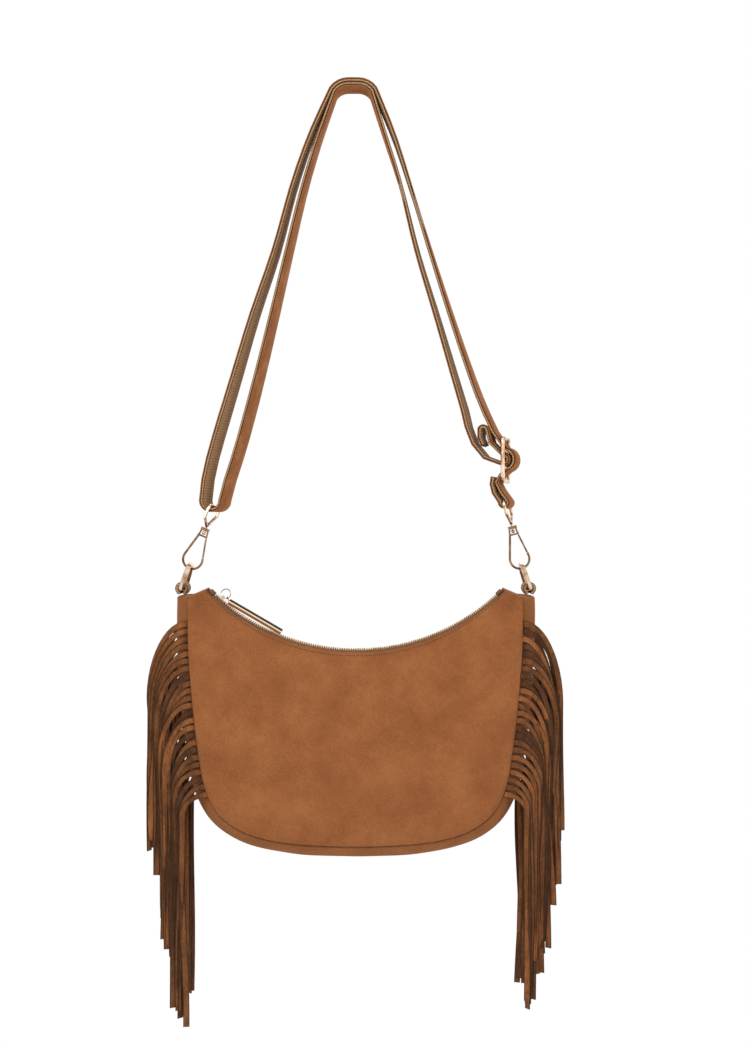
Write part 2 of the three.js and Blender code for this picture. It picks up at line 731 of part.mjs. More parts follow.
// Slide buckle: a rectangular wire frame with a centre bar, turned with the strap
function roundedFrame(width, height, corner, steps) {
  const x = width / 2 - corner;
  const z = height / 2 - corner;
  return [
    ...arc(x, z, corner, 0, 90, steps),
    ...arc(-x, z, corner, 90, 180, steps),
    ...arc(-x, -z, corner, 180, 270, steps),
    ...arc(x, -z, corner, 270, 360, steps),
  ];
}

const frameWidth = strapWidth + 2 * sideClearance + slideWire;
const slideParts = [
  wire(roundedFrame(frameWidth, slideHeight, 3, 3), slideWire, slideWire, true),
  new THREE.CylinderGeometry(slideWire / 2, slideWire / 2, frameWidth, 12).rotateZ(90 * degree),
];
const slide = addPiece(bag, 'slide_buckle', joined(slideParts).rotateZ(90 * degree), gold);
slide.position.set(slideX, 0, slideZ);
slide.rotation.z = -strapTwist * degree;

// Swivel hook: an eye in the strap's loop, with a stem and ball that the hook turns on
const hookBottom = -(ringWire / 2 + hookClearance + hookWire / 2);
const bendZ = hookBottom + hookRadius;
const flare = hookFlare * degree;
const sideX = (z) => hookRadius / Math.cos(flare) - (z - bendZ) * Math.tan(flare);
const stemTop = hookLength - eyeHeight;
const capTop = stemTop - stemShown;
const capBottom = capTop - capHeight;
const ballZ = capBottom - hookClearance - ballDiameter / 2;
const windowBottom = capBottom - windowHeight;
const windowX = (capWidth - windowWire) / 2;
const noseZ = bendZ + noseRise;

function swivelEye(lean) {
  const across = acrossStrap(-twistDrop).applyAxisAngle(new THREE.Vector3(0, 1, 0), -lean);
  const axis = new THREE.Vector3(0, 0, 1);
  const skew = new THREE.Matrix4().makeBasis(across, axis.clone().cross(across).normalize(), axis);
  const halfEye = (strapWidth + 2 * sideClearance + eyeWire) / 2;
  const bend = 2;
  const loop = [
    ...arc(halfEye - bend, hookLength - bend, bend, 0, 90, 3),
    ...arc(-halfEye + bend, hookLength - bend, bend, 90, 180, 3),
    new THREE.Vector2(-halfEye, hookLength - eyeHeight * 0.55),
    ...arc(0, stemTop + bend, bend, 215, 325, 3),
    new THREE.Vector2(halfEye, hookLength - eyeHeight * 0.55),
  ];
  const stem = new THREE.CylinderGeometry(stemDiameter / 2, stemDiameter / 2, stemTop - ballZ, 12)
    .rotateX(90 * degree)
    .translate(0, 0, (stemTop + ballZ) / 2);
  return joined([
    wire(loop, eyeWire, eyeWire, true).applyMatrix4(skew),
    stem,
    new THREE.SphereGeometry(ballDiameter / 2, 12, 8).translate(0, 0, ballZ),
  ]);
}

function hookFrame() {
  const frame = [
    new THREE.Vector2(sideX(noseZ), noseZ),
    ...arc(0, bendZ, hookRadius, hookFlare, -180 - hookFlare, 16),
    new THREE.Vector2(-sideX(windowBottom), windowBottom),
  ];
  const windowSide = (sign) => wire(points([
    [sign * sideX(windowBottom), windowBottom], [sign * windowX, capBottom + 0.4],
  ]), windowWire, hookDepth, false);
  const crossbarX = sideX(windowBottom) + windowWire / 2;
  const solid = [
    wire(frame, hookWire, hookDepth, false),
    windowSide(-1),
    windowSide(1),
    block(-crossbarX, crossbarX, -hookDepth / 2, hookDepth / 2, windowBottom, windowBottom + windowWire),
    block(-capWidth / 2, capWidth / 2, -capWidth / 2, capWidth / 2, capBottom, capTop),
  ].map(toSolid).reduce((whole, next) => whole.add(next));
  const boreRadius = stemDiameter / 2 + hookClearance;
  const bore = new THREE.CylinderGeometry(boreRadius, boreRadius, 3 * capHeight, 16)
    .rotateX(90 * degree)
    .translate(0, 0, capTop);
  return toGeometry(solid.subtract(toSolid(bore)));
}

// The gate hangs from the crossbar's end and closes on the nose
function hookGate() {
  const top = new THREE.Vector2(sideX(windowBottom), windowBottom);
  const nose = new THREE.Vector2(sideX(noseZ), noseZ);
  const way = nose.clone().sub(top).normalize();
  const from = top.clone().addScaledVector(way, hookClearance);
  const to = nose.clone().addScaledVector(way, -hookClearance);
  return wire([from, to], gateWire, hookDepth, false);
}

function buildHook(side, sign, eye) {
  const crossing = ringCrossing(sign);
  const lean = Math.atan2(eye.x - crossing.x, eye.y - crossing.y);
  const group = new THREE.Group();
  group.position.set(crossing.x, 0, crossing.y);
  group.rotation.y = lean;
  bag.add(group);
  addPiece(group, `swivel_eye_${side}`, swivelEye(lean), gold);
  addPiece(group, `hook_${side}`, hookFrame(), gold);
  addPiece(group, `gate_${side}`, hookGate(), gold);
}

buildHook('left', -1, eyeLeft);
buildHook('right', 1, eyeRight);

// D-rings and the folded tabs that hold them
for (const [side, sign] of [['left', -1], ['right', 1]]) {
  const barAt = new THREE.Vector2(sign * ringBarX, ringBarZ);
  const top = new THREE.Vector2((sign * ringSpan) / 2, ringCrossingZ);
  const height = barAt.distanceTo(top);
  const half = (ringInside + ringWire) / 2;
  const ringPath = [
    ...arc(half - 2.5, 2.5, 2.5, -90, 0, 3),
    ...arc(0, height - half, half, 0, 180, 14).slice(height > half + 3 ? 0 : 2),
    ...arc(-half + 2.5, 2.5, 2.5, 180, 270, 3),
  ];
  const ringWireBody = wire(ringPath, ringWire, ringWire, true).rotateZ(90 * degree);
  const ring = addPiece(body, `d_ring_${side}`, ringWireBody, gold);
  ring.position.set(barAt.x, 0, barAt.y);
  ring.rotation.y = Math.atan2(top.x - barAt.x, top.y - barAt.y);

  const inside = ringWire / 2 + seamGap;
  const middle = inside + tabThickness / 2;
  const leg = tabThickness / 2 + tabEase;
  const legZ = -Math.sqrt(middle ** 2 - leg ** 2);
  const open = Math.atan2(legZ, leg) / degree;
  const tabPath = [
    new THREE.Vector2(leg, legZ - tabLeg),
    ...arc(0, 0, middle, open + 14, 180 - open - 14, 16),
    new THREE.Vector2(-leg, legZ - tabLeg),
  ];
  const tab = wireStrip(tabPath, tabThickness, tabWidth);
  addPiece(body, `tab_${side}`, tab, webbing).position.set(barAt.x, 0, barAt.y);
}

export default bag;
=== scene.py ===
import bpy
import bmesh
import math
import random
from mathutils import Matrix, Vector, noise


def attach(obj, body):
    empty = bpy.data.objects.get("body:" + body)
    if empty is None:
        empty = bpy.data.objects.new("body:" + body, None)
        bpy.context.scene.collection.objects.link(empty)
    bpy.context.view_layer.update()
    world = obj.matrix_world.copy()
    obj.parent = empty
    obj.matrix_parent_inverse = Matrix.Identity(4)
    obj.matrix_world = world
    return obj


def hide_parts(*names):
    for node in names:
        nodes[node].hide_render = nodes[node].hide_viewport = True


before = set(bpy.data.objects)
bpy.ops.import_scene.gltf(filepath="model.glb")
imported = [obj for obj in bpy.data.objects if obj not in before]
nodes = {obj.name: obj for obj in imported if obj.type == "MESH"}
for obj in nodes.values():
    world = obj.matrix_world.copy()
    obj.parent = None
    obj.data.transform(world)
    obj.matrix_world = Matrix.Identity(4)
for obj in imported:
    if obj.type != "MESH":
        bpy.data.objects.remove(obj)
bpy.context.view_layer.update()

mm = 0.001


def linear(hexColour):
    # an sRGB hex value as the linear colour that a socket takes
    channels = [int(hexColour[i:i + 2], 16) / 255 for i in (1, 3, 5)]
    return [c / 12.92 if c <= 0.04045 else ((c + 0.055) / 1.055) ** 2.4 for c in channels] + [1]


def addNode(material, kind, links=None, **settings):
    # one node, its socket values and settings, and what feeds each of its inputs
    node = material.node_tree.nodes.new(kind)
    for key, value in settings.items():
        name = key.replace("_", " ")
        if name in node.inputs:
            node.inputs[name].default_value = value
        else:
            setattr(node, key, value)
    for name, source in (links or {}).items():
        material.node_tree.links.new(source, node.inputs[name])
    return node


def newMaterial(name):
    material = bpy.data.materials.new(name)
    material.use_nodes = True
    shader = material.node_tree.nodes["Principled BSDF"]
    return material, shader


def join(material, source, shader, name):
    material.node_tree.links.new(source, shader.inputs[name])


def patternSpace(material, stretch=(1, 1, 1)):
    place = addNode(material, "ShaderNodeTexCoord")
    return addNode(material, "ShaderNodeMapping", {"Vector": place.outputs["Object"]}, Scale=stretch)


def bandScale(periodMm):
    # the wave texture repeats every 2 pi / (20 x scale) metres
    return 2 * math.pi / 20 / (periodMm * mm)


def ramp(material, source, stops):
    node = addNode(material, "ShaderNodeValToRGB", {"Fac": source})
    node.color_ramp.elements[0].position = stops[0][0]
    node.color_ramp.elements[0].color = linear(stops[0][1])
    node.color_ramp.elements[1].position = stops[-1][0]
    node.color_ramp.elements[1].color = linear(stops[-1][1])
    for position, colour in stops[1:-1]:
        node.color_ramp.elements.new(position).color = linear(colour)
    return node


def suede(name, dark, middle, light, patchMm, stretch=(1, 1, 1)):
    # faux suede, brushed polyester microfibre: no gloss, a soft rim sheen, patches where the
    # nap lies another way, and a grain of tufts drawn 1.3 mm across so that it shows
    material, shader = newMaterial(name)
    space = patternSpace(material, stretch)
    patches = addNode(material, "ShaderNodeTexNoise", {"Vector": space.outputs["Vector"]},
                      Scale=1000 / patchMm, Detail=4, Roughness=0.62)
    grain = addNode(material, "ShaderNodeTexNoise", {"Vector": space.outputs["Vector"]},
                    Scale=1000 / 1.3, Detail=2, Roughness=0.6)
    both = addNode(material, "ShaderNodeMath", operation="MULTIPLY_ADD")
    material.node_tree.links.new(grain.outputs["Fac"], both.inputs[0])
    both.inputs[1].default_value = 0.6  # the grain's share beside the patches
    material.node_tree.links.new(patches.outputs["Fac"], both.inputs[2])
    colour = ramp(material, both.outputs["Value"], [(0.55, dark), (0.8, middle), (1, light)])
    join(material, colour.outputs["Color"], shader, "Base Color")
    bump = addNode(material, "ShaderNodeBump", {"Height": grain.outputs["Fac"]},
                   Strength=0.35, Distance=0.0003)
    join(material, bump.outputs["Normal"], shader, "Normal")
    shader.inputs["Roughness"].default_value = 0.95
    shader.inputs["Specular IOR Level"].default_value = 0.15
    shader.inputs["Sheen Weight"].default_value = 0.18
    shader.inputs["Sheen Roughness"].default_value = 0.6
    shader.inputs["Sheen Tint"].default_value = linear("#d9a06f")
    return material


def webbing(name, base, raised):
    # polyester strap webbing: dull thread, ribs across the strap, really 1.3 mm apart and drawn
    # at 2.1 mm so that they show
    material, shader = newMaterial(name)
    space = patternSpace(material)
    ribs = addNode(material, "ShaderNodeTexWave", {"Vector": space.outputs["Vector"]},
                   wave_type="BANDS", bands_direction="Z", Scale=bandScale(2.1),
                   Distortion=0.8, Detail=2)
    fibre = addNode(material, "ShaderNodeTexNoise", {"Vector": space.outputs["Vector"]},
                    Scale=1000 / 1.1, Detail=2, Roughness=0.6)
    thread = addNode(material, "ShaderNodeMix", {"A": ribs.outputs["Fac"], "B": fibre.outputs["Fac"]},
                     data_type="FLOAT", Factor=0.76)
    colour = ramp(material, thread.outputs["Result"], [(0.2, base), (0.75, raised)])
    join(material, colour.outputs["Color"], shader, "Base Color")
    bump = addNode(material, "ShaderNodeBump", {"Height": thread.outputs["Result"]},
                   Strength=0.6, Distance=0.0004)
    join(material, bump.outputs["Normal"], shader, "Normal")
    shader.inputs["Roughness"].default_value = 0.85
    shader.inputs["Specular IOR Level"].default_value = 0.2
    return material


def wovenCloth(name, dark, light, threadMm):
    # plain weave cotton: two sets of threads crossing, no gloss
    material, shader = newMaterial(name)
    space = patternSpace(material)
    across = addNode(material, "ShaderNodeTexWave", {"Vector": space.outputs["Vector"]},
                     wave_type="BANDS", bands_direction="X", Scale=bandScale(threadMm), Distortion=0.6)
    along = addNode(material, "ShaderNodeTexWave", {"Vector": space.outputs["Vector"]},
                    wave_type="BANDS", bands_direction="Z", Scale=bandScale(threadMm), Distortion=0.6)
    cross = addNode(material, "ShaderNodeMath", operation="MULTIPLY")
    material.node_tree.links.new(across.outputs["Fac"], cross.inputs[0])
    material.node_tree.links.new(along.outputs["Fac"], cross.inputs[1])
    colour = ramp(material, cross.outputs["Value"], [(0.1, dark), (0.8, light)])
    join(material, colour.outputs["Color"], shader, "Base Color")
    bump = addNode(material, "ShaderNodeBump", {"Height": cross.outputs["Value"]},
                   Strength=0.4, Distance=0.0003)
    join(material, bump.outputs["Normal"], shader, "Normal")
    shader.inputs["Roughness"].default_value = 0.9
    return material


def polishedGold(name, colour, dullAndDarkReflection, roughness):
    # zinc alloy with a pale gold plating, tumbled and polished: sharp reflections, a warm tint,
    # and faint dull patches where it has been handled, also coloured darker as painted dark reflections
    material, shader = newMaterial(name)
    space = patternSpace(material)
    wearAndReflection = addNode(material, "ShaderNodeTexNoise", {"Vector": space.outputs["Vector"]},
                   Scale=1000 / 7, Detail=3, Roughness=0.6)
    # darker colour in the dull patches: painted dark reflections beside the real handling wear
    tint = ramp(material, wearAndReflection.outputs["Fac"], [(0.35, dullAndDarkReflection), (0.65, colour)])
    join(material, tint.outputs["Color"], shader, "Base Color")
    dull = addNode(material, "ShaderNodeMapRange", {"Value": wearAndReflection.outputs["Fac"]})
    dull.inputs["To Min"].default_value = roughness + 0.12
    dull.inputs["To Max"].default_value = roughness - 0.06
    join(material, dull.outputs["Result"], shader, "Roughness")
    shader.inputs["Metallic"].default_value = 1
    return material


def sewingThread(name, dark, light):
    # bonded polyester thread: twisted, slightly glossy
    material, shader = newMaterial(name)
    space = patternSpace(material)
    twist = addNode(material, "ShaderNodeTexNoise", {"Vector": space.outputs["Vector"]},
                    Scale=1000 / 0.8, Detail=1)
    colour = ramp(material, twist.outputs["Fac"], [(0.3, dark), (0.7, light)])
    join(material, colour.outputs["Color"], shader, "Base Color")
    shader.inputs["Roughness"].default_value = 0.6
    return material


def bandedBar(name, tiltDegrees, centreX, centreZ, halfHeightMm):
    # square polished bar of pale gold: bands across its height stand for the room that it
    # reflects in the photograph, brown below, a bright edge and a dark top
    material, shader = newMaterial(name)
    place = addNode(material, "ShaderNodeTexCoord")
    centred = addNode(material, "ShaderNodeMapping", {"Vector": place.outputs["Object"]},
                      vector_type="TEXTURE")
    centred.inputs["Location"].default_value = (centreX * mm, 0, centreZ * mm)
    centred.inputs["Rotation"].default_value = (0, math.radians(tiltDegrees), 0)
    axes = addNode(material, "ShaderNodeSeparateXYZ", {"Vector": centred.outputs["Vector"]})
    height = addNode(material, "ShaderNodeMapRange", {"Value": axes.outputs["Z"]})
    height.inputs["From Min"].default_value = -halfHeightMm * mm
    height.inputs["From Max"].default_value = halfHeightMm * mm
    bands = ramp(material, height.outputs["Result"], [
        (0, "#8b5530"), (0.42, "#8b5530"), (0.46, "#f3dfba"),
        (0.62, "#f7ead0"), (0.68, "#4a3b2d"), (1, "#3a2f26")])
    join(material, bands.outputs["Color"], shader, "Base Color")
    shader.inputs["Metallic"].default_value = 0.9
    shader.inputs["Roughness"].default_value = 0.18
    return material


# the strips show three tones, and their cut edges and the paint on the strap's edges are as dull
# as the suede, so they are made the same way
panelSuede = suede("brushed_microsuede", "#7f4a27", "#8d5631", "#9a6138", 30)
# a darker copy of the panel suede: painted shade for the fold where each panel meets the gusset
seamShadeSuede = suede("microsuede_painted_seam_shade", "#3f2616", "#52321e", "#643d25", 6)
fringeLight = suede("cut_microsuede_light", "#5c3820", "#7d4c2a", "#935b34", 8, (1, 1, 0.4))
fringeSuede = suede("cut_microsuede", "#4a2d1b", "#6a4125", "#80502d", 8, (1, 1, 0.4))
fringeDark = suede("cut_microsuede_dark", "#352014", "#4d2f1c", "#603c24", 8, (1, 1, 0.4))
fringeEdge = suede("cut_suede_edge", "#24150d", "#332014", "#432a1b", 5)
facingSuede = suede("strap_microsuede", "#84502b", "#985f37", "#ab7047", 14)
edgePaint = suede("dark_edge_paint", "#2b1c14", "#3b2920", "#4a3529", 4)
endSuede = suede("dark_microsuede", "#3d2618", "#523422", "#64412b", 6)
strapWebbing = webbing("ribbed_polyester_webbing", "#82603f", "#b9936c")
liningCotton = wovenCloth("lining_cotton", "#4a3020", "#6a4a33", 0.9)
zipTape = wovenCloth("woven_zip_tape", "#6a4427", "#845833", 0.7)
gold = polishedGold("pale_gold_plating", "#ead3ba", "#a47a58", 0.14)
# hooks and gates: the plating coloured darker all over, painted dark reflections on their thin wires
hookDarkReflectionGold = polishedGold("hook_gold_painted_dark_reflection", "#a98663", "#5e4430", 0.14)
toothGold = polishedGold("zip_tooth_gold", "#fff1d6", "#dcb782", 0.42)
thread = sewingThread("dark_brown_thread", "#4c2f1d", "#6b452b")
print("materials made")


# the bag's lines, in millimetres, as the CAD has them

bag = {
    "centreX": 1.8, "width": 255, "peakSpan": 230, "strapDrop": 389.6, "shoulderDrop": 4.9,
    "sideHeight": 190.3, "scoopRadius": 163.4, "seamDepth": 52, "zipOpening": 27,
    "panelThickness": 1.5, "panelBulge": 8, "gussetBulge": 11.7, "gussetThickness": 1.6,
    "shoulderBulge": 1.5, "cornerRound": 1.2, "shoulderShare": 0.93, "fringeFade": 20,
}
cornerX = bag["width"] / 2
peakX = bag["peakSpan"] / 2
peakZ = -bag["strapDrop"]
cornerZ = peakZ - bag["shoulderDrop"]
scoopZ = peakZ + math.sqrt(bag["scoopRadius"] ** 2 - peakX ** 2)
halfDepth = bag["seamDepth"] / 2
halfZip = bag["zipOpening"] / 2
seamShape = [(1, 0), (0.996, 0.239), (0.953, 0.554), (0.886, 0.791), (0.745, 0.914), (0.47, 0.98)]


def smoothLine(points, steps=24):
    # a line through the points, each span bent by its neighbours
    line = []
    last = len(points) - 1
    for i in range(last):
        p0, p1, p2, p3 = points[max(i - 1, 0)], points[i], points[i + 1], points[min(i + 2, last)]
        for k in range(steps):
            t = k / steps
            line.append(tuple(
                (2 * b - 2 * c + (c - a) / 2 + (d - b) / 2) * t ** 3
                + (-3 * b + 3 * c - (c - a) - (d - b) / 2) * t ** 2 + (c - a) / 2 * t + b
                for a, b, c, d in zip(p0, p1, p2, p3)))
    return line + [tuple(points[-1])]


def lengthsOf(line):
    total = [0]
    for a, b in zip(line, line[1:]):
        total.append(total[-1] + math.dist(a, b))
    return total


seamPoints = [(-x * cornerX, cornerZ - z * bag["sideHeight"]) for x, z in seamShape]
seamPoints += [(0, cornerZ - bag["sideHeight"])]
seamPoints += [(x * cornerX, cornerZ - z * bag["sideHeight"]) for x, z in reversed(seamShape)]
seamLine = smoothLine(seamPoints)
seamLengths = lengthsOf(seamLine)


def seamAt(share):
    # the point on the seam at that share of its length, from the left corner to the right
    target = min(max(share, 0), 1) * seamLengths[-1]
    low, high = 0, len(seamLengths) - 1
    while high - low > 1:
        middle = (low + high) // 2
        low, high = (middle, high) if seamLengths[middle] <= target else (low, middle)
    span = seamLengths[high] - seamLengths[low]
    along = (target - seamLengths[low]) / span
    return Vector((seamLine[low][0], seamLine[low][1])).lerp(Vector(seamLine[high]), along)


def seamOut(share):
    way = (seamAt(share + 0.002) - seamAt(share - 0.002)).normalized()
    return Vector((way.y, -way.x))


def topEdge(u):
    side = 1 if u >= 0 else -1
    share = abs(u) / bag["shoulderShare"]
    if share > 1:
        along = (abs(u) - bag["shoulderShare"]) / (1 - bag["shoulderShare"])
        return Vector((side * (peakX + (cornerX - peakX) * along), peakZ + (cornerZ - peakZ) * along))
    angle = math.asin(peakX / bag["scoopRadius"]) * share
    return Vector((side * bag["scoopRadius"] * math.sin(angle),
                   scoopZ - bag["scoopRadius"] * math.cos(angle)))


def topDepth(u):
    along = max(0, (abs(u) - bag["shoulderShare"]) / (1 - bag["shoulderShare"]))
    return halfZip + (halfDepth - halfZip) * along


def panelDepth(u, v):
    crown = bag["panelBulge"] * math.sin(v * math.pi) * (1 - u ** 4)
    spread = math.sin(v * math.pi / 2)
    return topDepth(u) + (halfDepth - topDepth(u)) * spread + crown


def finishPiece(name, mesh, material, body, replaced=(), smooth=40, others=()):
    data = bpy.data.meshes.new(name)
    mesh.to_mesh(data)
    mesh.free()
    piece = bpy.data.objects.new(name, data)
    bpy.context.scene.collection.objects.link(piece)
    for paint in (material, *others):
        data.materials.append(paint)
    data.polygons.foreach_set("use_smooth", [True] * len(data.polygons))
    data.set_sharp_from_angle(angle=math.radians(smooth))
    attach(piece, body)
    if replaced:
        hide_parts(*replaced)
    return piece


def mappedGrid(mesh, across, along, place, paint=None):
    # a flat grid of cells from -1 to 1 both ways, each corner then put in its place; paint gives
    # the material's number from a cell's middle
    made = bmesh.ops.create_grid(mesh, x_segments=across, y_segments=along, size=1)
    if paint:
        for cell in {f for vert in made["verts"] for f in vert.link_faces}:
            cell.material_index = paint(*cell.calc_center_median().xy)
    for vert in made["verts"]:
        x, y, z = place(vert.co.x, vert.co.y)
        vert.co = Vector((x + bag["centreX"], y, z)) * mm


def faceAway(mesh, centre):
    # turn the whole sheet round if it faces the centre
    mesh.normal_update()
    facing = sum((f.calc_center_median() - centre).dot(f.normal) * f.calc_area() for f in mesh.faces)
    if facing < 0:
        bmesh.ops.reverse_faces(mesh, faces=mesh.faces[:])


def thicken(piece, thickness, offset=-1):
    wall = piece.modifiers.new("wall", "SOLIDIFY")
    wall.thickness = thickness * mm
    wall.offset = offset
    wall.use_even_offset = False


def softCopy(node):
    # the CAD node's own form, merged, to be worked on as a new piece
    mesh = bmesh.new()
    mesh.from_mesh(nodes[node].data)
    bmesh.ops.remove_doubles(mesh, verts=mesh.verts[:], dist=1e-6)
    return mesh


wallShare = 0.9  # these walls are a little thinner than the CAD's
bagCentre = Vector((bag["centreX"], 0, cornerZ - 80)) * mm  # anywhere inside the bag
panelLook = {"columns": 150, "rows": 60, "edgeRoll": 1.3, "rollShare": 0.03, "dent": 1.1,
             "crease": 0.22, "pucker": 0.35, "puckerShare": 0.14, "puckerTurns": 118, "rowPack": 1.27}


def panelPlace(face):
    def place(u, y):
        v = 1 - (0.5 - y / 2) ** panelLook["rowPack"]
        flat = topEdge(u).lerp(seamAt((1 + u) / 2), v)
        depth = panelDepth(u, v) + bag["panelThickness"]
        edge = max(0, 1 - (1 - v) / panelLook["rollShare"]) + max(0, 1 - v / 0.012) * 0.5
        soft = math.sin(v * math.pi) ** 0.5
        dent = noise.noise(Vector((flat.x / 55, flat.y / 45, face * 3.1))) * panelLook["dent"]
        creases = noise.noise(Vector((flat.x / 14, flat.y / 20, 9 + face))) * panelLook["crease"]
        near = max(0, 1 - (1 - v) / panelLook["puckerShare"]) * (1 if v < 0.995 else 0)
        pucker = math.sin(u * panelLook["puckerTurns"]) * panelLook["pucker"] * near
        depth += soft * (dent + creases) - edge * panelLook["edgeRoll"] - abs(pucker) * 0.6
        return flat.x, face * depth, flat.y
    return place


for name, face in (("front", -1), ("back", 1)):
    mesh = bmesh.new()
    lastRow = 1 - 2 / panelLook["rows"]
    mappedGrid(mesh, panelLook["columns"], panelLook["rows"], panelPlace(face),
               lambda u, y: int(y > lastRow))  # the last row is painted darker: painted shade in the seam's fold
    faceAway(mesh, bagCentre)
    piece = finishPiece(name + "_panel_suede", mesh, panelSuede, "bag", [name + "_panel"],
                        others=(seamShadeSuede,))
    thicken(piece, bag["panelThickness"] * wallShare)
print("panels made")

# strips sewn into each side seam, arching out and hanging; the tones of the front and of the
# back strips differ, because the back ones lie in the bag's shade in the photograph
fringe = {
    "strips": 24, "top": 17.1, "pitch": 5.65, "width": 4.7, "thickness": 1.0, "length": 186,
    "uneven": 6, "reach": 34, "lowReach": 5, "droop": 62, "lowDroop": 14, "tilt": 24, "spread": 0.5,
    "seamGap": 0.3, "header": 4, "twist": 34, "sway": 1.8, "pinch": 0.22, "archShare": 0.36,
    "edgeLine": 0.27, "shorter": (-26, -12, -7, -3, 0, 2), "seed": 11,
    "tones": {-1: (0, 0, 1, 1, 2), 1: (1, 2, 2)},
}
fringeLayer = fringe["thickness"] + 2 * fringe["seamGap"]
fringeEnd = fringe["top"] + fringe["strips"] * fringe["pitch"]


def gussetPathPoints():
    # centre line, bulge out and half width, from the right peak down to the bottom and up again
    stations = []
    for i in range(6):
        x = peakX + (cornerX - bag["cornerRound"] - peakX) * i / 6
        z = peakZ + (cornerZ - peakZ) * i / 6
        half = halfZip + (halfDepth - halfZip) * min(1, (x - peakX) / (cornerX - peakX))
        stations.append((x, z, 0, bag["shoulderBulge"], half - fringe["seamGap"]))
    for i in range(7):
        turn = math.radians(90 * i / 6)
        x = cornerX - bag["cornerRound"] + bag["cornerRound"] * math.sin(turn)
        half = halfZip + (halfDepth - halfZip) * min(1, (x - peakX) / (cornerX - peakX))
        stations.append((x, cornerZ - bag["cornerRound"] * (1 - math.cos(turn)),
                         bag["gussetBulge"] * math.sin(turn), bag["shoulderBulge"] * math.cos(turn),
                         half - fringeLayer))
    steps = 90
    for i in range(1, steps + 1):
        share = 1 - 0.5 * i / steps
        point, out = seamAt(share), seamOut(share)
        down = cornerZ - point.y
        blend = min(max((down - fringeEnd) / bag["fringeFade"], 0), 1)
        half = halfDepth - (fringeLayer + (fringe["seamGap"] - fringeLayer) * blend)
        stations.append((point.x, point.y, bag["gussetBulge"] * out.x, bag["gussetBulge"] * out.y, half))
    left = [(-x, z, -ox, oz, half) for x, z, ox, oz, half in stations[:-1]]
    return stations + left[::-1]


gussetPath = gussetPathPoints()


def gussetPlace(row, along):
    x, z, outX, outZ, half = gussetPath[round((along + 1) / 2 * (len(gussetPath) - 1))]
    swell = 1 - abs(row) ** 2.2
    size = math.hypot(outX, outZ)
    dent = noise.noise(Vector((x / 30, z / 30, row * 2))) * 0.08 * swell * min(1, size / 6)
    dip = max(0, (abs(row) - 0.94) / 0.06) * 0.9 / size
    swell += dent - dip
    return x + outX * swell, half * row, z + outZ * swell


mesh = bmesh.new()
mappedGrid(mesh, 26, len(gussetPath) - 1, gussetPlace)
faceAway(mesh, bagCentre)
piece = finishPiece("gusset_suede", mesh, panelSuede, "bag", ["gusset"])
thicken(piece, bag["gussetThickness"] * wallShare)
print("gusset made")


def seamShareAt(down):
    share, step = 0.5, 0.25
    for i in range(20):
        share += step if cornerZ - seamAt(share).y > down else -step
        step /= 2
    return share


def stripPlace(index, side, face, chance):
    share = index / (fringe["strips"] - 1)
    root = seamAt(seamShareAt(fringe["top"] + (index + 0.5) * fringe["pitch"]))
    reach = fringe["reach"] + (fringe["lowReach"] - fringe["reach"]) * share + cornerX - root.x
    droop = fringe["droop"] + (fringe["lowDroop"] - fringe["droop"]) * share
    ease = fringe["spread"] * ((fringe["strips"] - 1) / 2 - index)
    arch = math.pi / 2 * math.sqrt((reach ** 2 + droop ** 2) / 2)
    fall = fringe["length"] - arch + fringe["uneven"] * math.sin(index * 2.4)
    reach *= 1 + chance.uniform(-0.2, 0.03)
    droop *= 1 + chance.uniform(-0.2, 0.16)
    fall += chance.choice(fringe["shorter"]) + chance.uniform(-4, 2)
    twist = math.radians(chance.uniform(-1, 1) * fringe["twist"])
    swayX, swayY = chance.uniform(-1, 1) * fringe["sway"], chance.uniform(-1, 1) * fringe["sway"]
    lean = chance.uniform(-2.5, 1.5)
    seamY = halfDepth - fringe["seamGap"] - fringe["thickness"] / 2
    archShare = fringe["archShare"]

    def place(across, along):
        t = (along + 1) / 2
        if t < archShare:
            turn = t / archShare * math.pi / 2
            x, z = root.x + reach * math.sin(turn), root.y - droop * (1 - math.cos(turn))
            if t == 0:
                x -= fringe["header"] / 2
            wayX, wayZ, down = reach * math.cos(turn), -droop * math.sin(turn), 0
        else:
            turn = math.pi / 2
            down = (t - archShare) / (1 - archShare)
            x, z = root.x + reach + lean * down, root.y - droop - fall * down
            wayX, wayZ = 0, -1
        size = math.hypot(wayX, wayZ)
        flatX, flatZ = -wayZ / size, wayX / size
        across = math.copysign(abs(across) ** fringe["edgeLine"], across)
        tilt = math.radians(fringe["tilt"]) * math.sin(turn) + twist * (down + 0.25 * math.sin(turn))
        x += swayX * math.sin(down * 5 + index)
        y = ease * math.sin(turn) ** 2 + swayY * math.sin(down * 4 + index * 2)
        narrowed = 1 - fringe["pinch"] * math.sin(min(t / archShare, 1) * math.pi) ** 2
        wide = across * fringe["width"] / 2 * narrowed
        curl = 0.35 * (1 - across ** 2) * math.sin(down * math.pi)
        x += flatX * wide * math.cos(tilt) + flatX * curl * math.sin(tilt)
        z += flatZ * wide * math.cos(tilt)
        y += -math.sin(tilt) * wide + curl * math.cos(tilt)
        return side * x, face * (seamY - y), z
    return place


def headerPlace(side, face):
    def place(across, along):
        share = seamShareAt(fringe["top"] + (along + 1) / 2 * fringe["strips"] * fringe["pitch"])
        point, out = seamAt(share), seamOut(share)
        inward = (across - 1) / 2 * fringe["header"]
        seamY = halfDepth - fringe["seamGap"] - fringe["thickness"] / 2
        return side * (point.x + out.x * inward), face * seamY, point.y + out.y * inward
    return place


